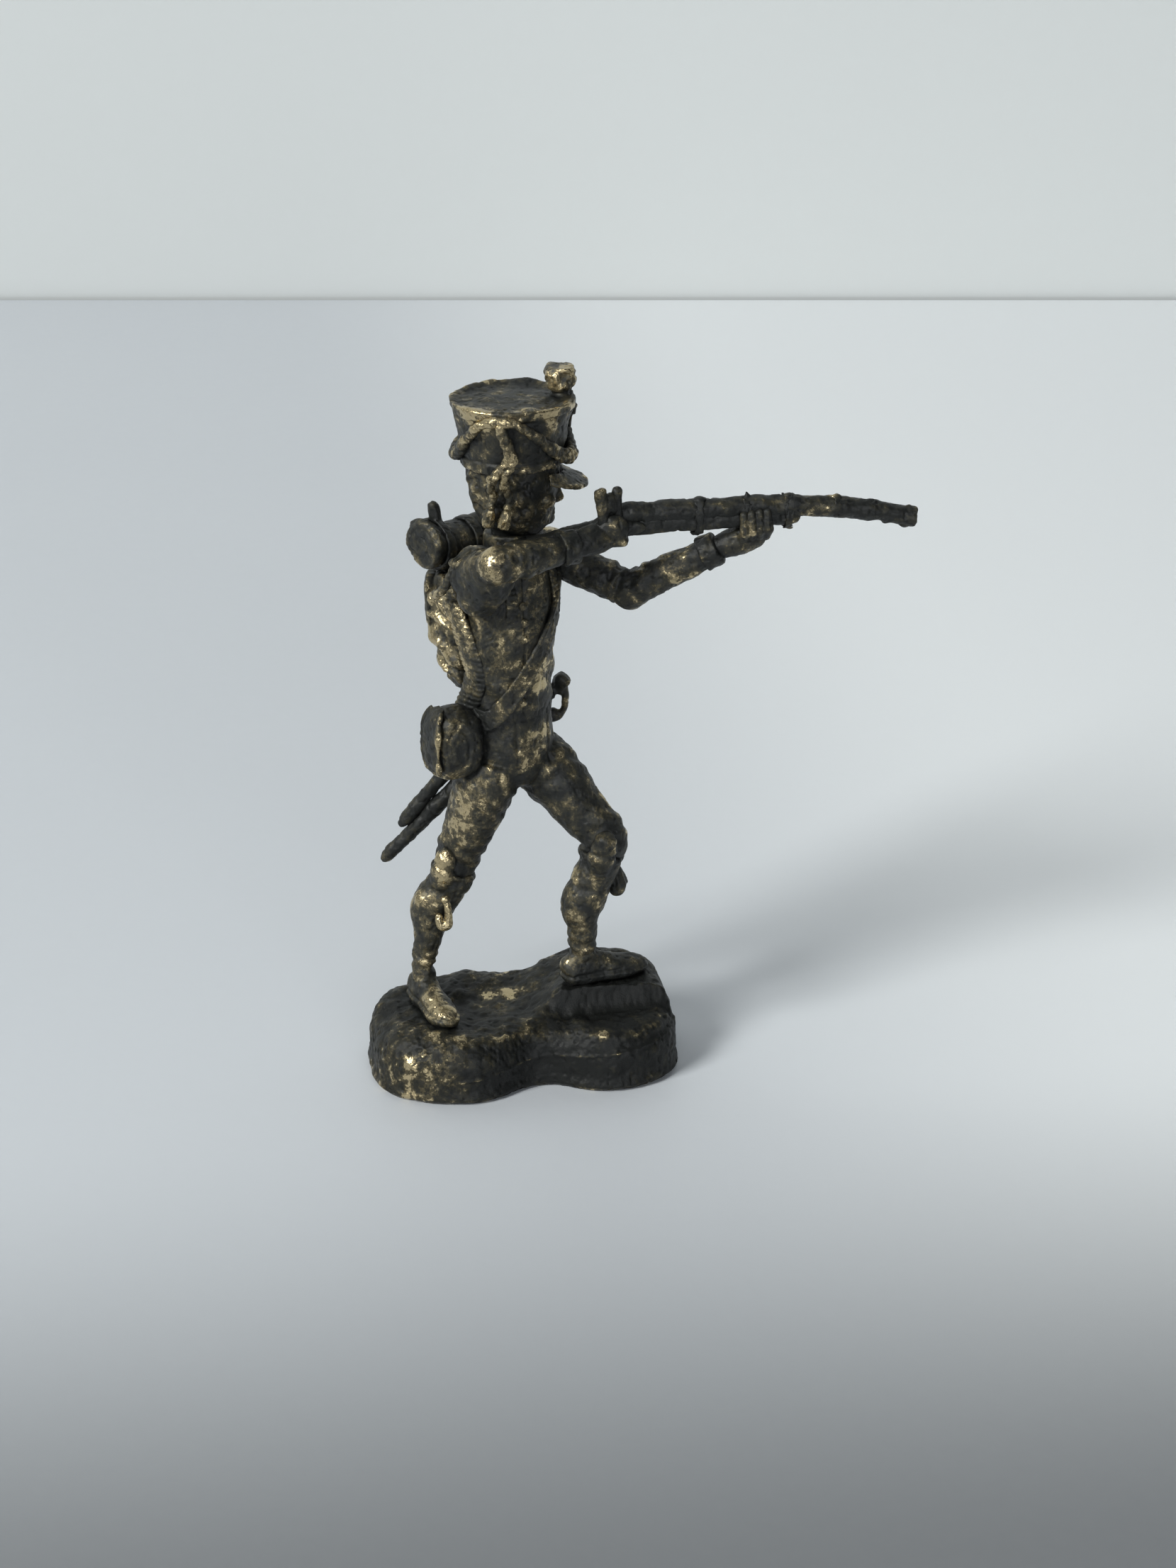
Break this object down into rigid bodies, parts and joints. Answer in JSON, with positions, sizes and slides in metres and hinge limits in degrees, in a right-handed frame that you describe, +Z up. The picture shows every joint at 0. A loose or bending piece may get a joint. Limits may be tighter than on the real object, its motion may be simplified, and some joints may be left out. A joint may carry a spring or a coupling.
{
  "type": "toy soldier figure",
  "caption": "Cast brass toy infantryman in a bell-topped cap, aiming a musket, with knapsack and sabre, standing on a peanut-shaped base.",
  "frame": {"origin": "centre of the base's underside", "axes": "+Z up, +X along the aim of the musket, -Y toward the viewer of the picture"},
  "size_m": [0.0309, 0.0118, 0.0416],
  "materials": {
    "patina_brass": "black patina worn through to brass on the high places",
    "rubbed_brass": "brass rubbed bright through a black patina",
    "base_brass": "cast brass with a chipped black patina"
  },
  "bodies": {
    "root": {"base": "base_brass", "right_boot": "patina_brass", "left_boot": "patina_brass", "right_boot_tassel": "rubbed_brass", "left_boot_tassel": "rubbed_brass", "right_leg": "patina_brass", "left_leg": "patina_brass", "hips": "patina_brass", "coat_body": "patina_brass", "coat_tails": "patina_brass", "coat_buttons": "rubbed_brass", "right_shoulder_strap": "rubbed_brass", "left_shoulder_strap": "rubbed_brass", "right_arm": "patina_brass", "left_arm": "patina_brass", "right_cuff": "rubbed_brass", "left_cuff": "rubbed_brass", "right_hand": "rubbed_brass", "left_hand": "rubbed_brass", "head": "patina_brass", "shako": "patina_brass", "visor": "patina_brass", "pompon": "rubbed_brass", "cockade": "patina_brass", "shako_cord": "rubbed_brass", "cord_tassels": "rubbed_brass", "musket_stock": "patina_brass", "musket_barrel": "patina_brass", "barrel_bands": "rubbed_brass", "musket_lock": "patina_brass", "musket_cock": "rubbed_brass", "knapsack": "patina_brass", "knapsack_flap": "patina_brass", "knapsack_straps": "rubbed_brass", "coat_roll": "patina_brass", "roll_straps": "rubbed_brass", "cartridge_box": "patina_brass", "cartridge_flap": "patina_brass", "cross_belt": "patina_brass", "sabre_hilt": "rubbed_brass", "sabre_scabbard": "patina_brass", "bayonet_scabbard": "patina_brass", "sword_frog": "patina_brass"}
  },
  "joints": []
}
